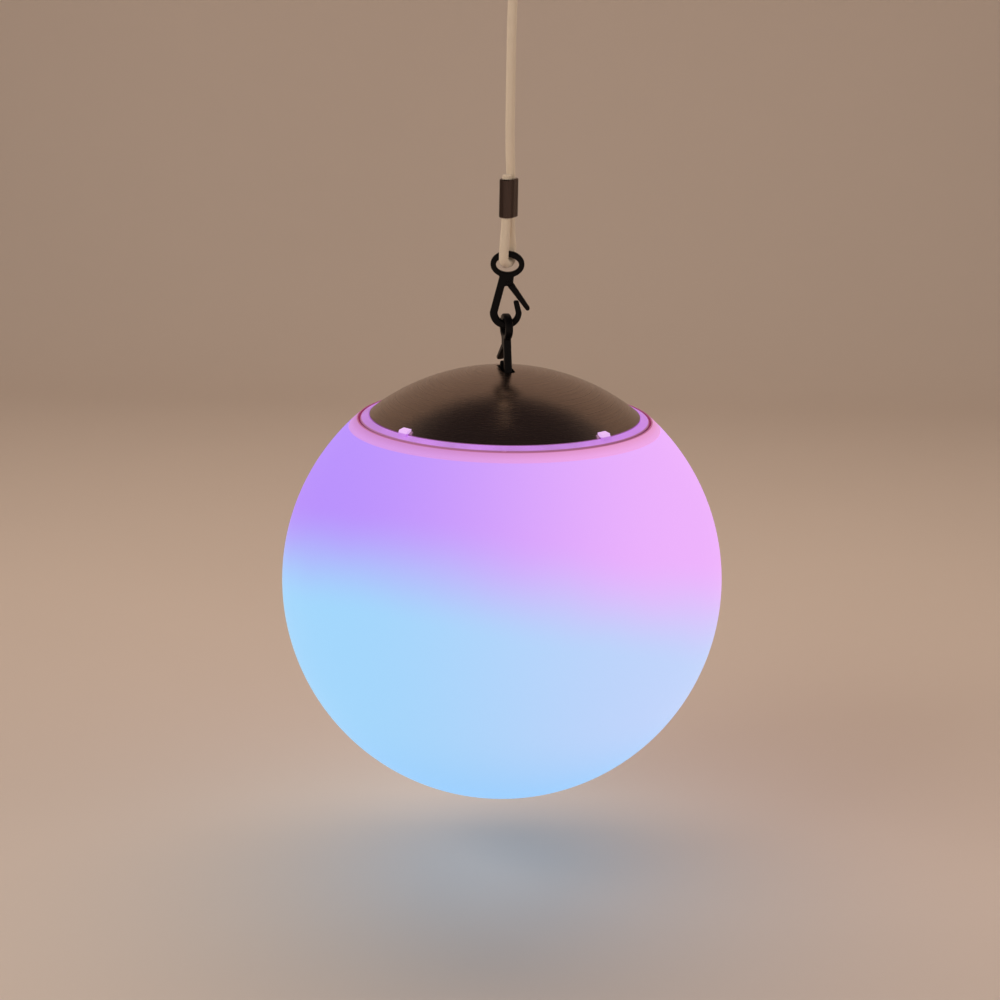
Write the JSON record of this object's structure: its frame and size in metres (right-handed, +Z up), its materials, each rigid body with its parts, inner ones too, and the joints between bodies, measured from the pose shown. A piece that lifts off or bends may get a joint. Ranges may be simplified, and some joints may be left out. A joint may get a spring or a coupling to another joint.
{
  "type": "floating pool light",
  "caption": "Hanging and floating globe light: milky globe, twist-off light unit under a steel dome, snap hooks and a looped cord.",
  "frame": {"origin": "middle of the rail position in the bow of the top hook, where the light hangs", "axes": "+Z up along the hanging axis, -Y towards the side with the index mark on the light unit"},
  "size_m": [0.3, 0.3, 0.6609],
  "materials": {
    "hook_plastic": "satin",
    "cord_fibre": "matt braided",
    "ferrule_metal": "dark bright plate",
    "dome_steel": "satin polished",
    "hanger_steel": "satin",
    "fastener_steel": "bright",
    "ring_plastic": "translucent frosted",
    "inner_plastic": "matt",
    "seal_rubber": "matt",
    "board": "matt",
    "chip": "gloss",
    "component": "matt",
    "cell_wrap": "gloss",
    "lens_opal": "opal",
    "wire_sleeve": "gloss",
    "globe_skin": "gloss translucent, lit",
    "collar_plastic": "frosted translucent"
  },
  "bodies": {
    "top_hook": {"top_hook": "hook_plastic"},
    "top_gate": {"top_hook_gate": "hook_plastic"},
    "line": {"cord": "cord_fibre", "upper_ferrule": "ferrule_metal", "lower_ferrule": "ferrule_metal"},
    "middle_hook": {"middle_hook": "hook_plastic"},
    "middle_gate": {"middle_hook_gate": "hook_plastic"},
    "lower_hook": {"lower_hook": "hook_plastic"},
    "lower_gate": {"lower_hook_gate": "hook_plastic"},
    "light_unit": {"cap_base": "ring_plastic", "dome_cover": "dome_steel", "hanger_post": "hanger_steel", "hanger_bar": "hanger_steel", "post_screws": "fastener_steel", "cap_lid": "inner_plastic", "lid_gasket": "seal_rubber", "lid_screws": "fastener_steel", "cap_seal": "seal_rubber", "led_board": "board", "led_chips": "chip", "led_lens": "lens_opal", "lens_seal": "seal_rubber", "lens_screws": "fastener_steel", "board_spacers": "inner_plastic", "control_board": "board", "board_parts": "component", "battery_cells": "cell_wrap", "battery_cradles": "inner_plastic", "battery_straps": "inner_plastic", "button_switch": "component", "switch_board": "board", "charge_socket": "component", "charge_plug": "seal_rubber", "wiring": "wire_sleeve"},
    "button": {"power_button": "seal_rubber"},
    "globe": {"globe_shell": "globe_skin", "globe_collar": "collar_plastic"}
  },
  "joints": [
    {"name": "line_swing", "type": "hinge", "parent": "top_hook", "child": "line", "pos_m": [0, 0, -0.039], "axis": [1, 0, 0], "range_deg": [-45, 45]},
    {"name": "middle_hook_swing", "type": "hinge", "parent": "line", "child": "middle_hook", "pos_m": [0, 0, -0.2766], "axis": [1, 0, 0], "range_deg": [-40, 40]},
    {"name": "lower_hook_swing", "type": "hinge", "parent": "middle_hook", "child": "lower_hook", "pos_m": [0, 0, -0.3239], "axis": [1, 0, 0], "range_deg": [-30, 30]},
    {"name": "globe_swing", "type": "hinge", "parent": "lower_hook", "child": "light_unit", "pos_m": [0, 0, -0.3613], "axis": [0.9781, 0.2079, 0], "range_deg": [-14, 9]},
    {"name": "light_unit_twist", "type": "hinge", "parent": "light_unit", "child": "globe", "pos_m": [0, 0, -0.5003], "axis": [0, 0, 1], "range_deg": [0, 36]},
    {"name": "top_gate_flex", "type": "hinge", "parent": "top_hook", "child": "top_gate", "pos_m": [-0.0008, 0, -0.0207], "axis": [0, -1, 0], "range_deg": [0, 30], "stiffness_Nm_per_rad": 0.02},
    {"name": "middle_gate_flex", "type": "hinge", "parent": "middle_hook", "child": "middle_gate", "pos_m": [0.0008, 0, -0.2949], "axis": [0, -1, 0], "range_deg": [0, 30], "stiffness_Nm_per_rad": 0.02},
    {"name": "lower_gate_flex", "type": "hinge", "parent": "lower_hook", "child": "lower_gate", "pos_m": [-0.00017, 0.00078, -0.3369], "axis": [0.9781, 0.2079, 0], "range_deg": [-6, 11], "stiffness_Nm_per_rad": 0.02},
    {"name": "power_button_press", "type": "slide", "parent": "light_unit", "child": "button", "axis": [0, 0, 1], "range_m": [0, 0.0015], "stiffness_N_per_m": 300}
  ]
}
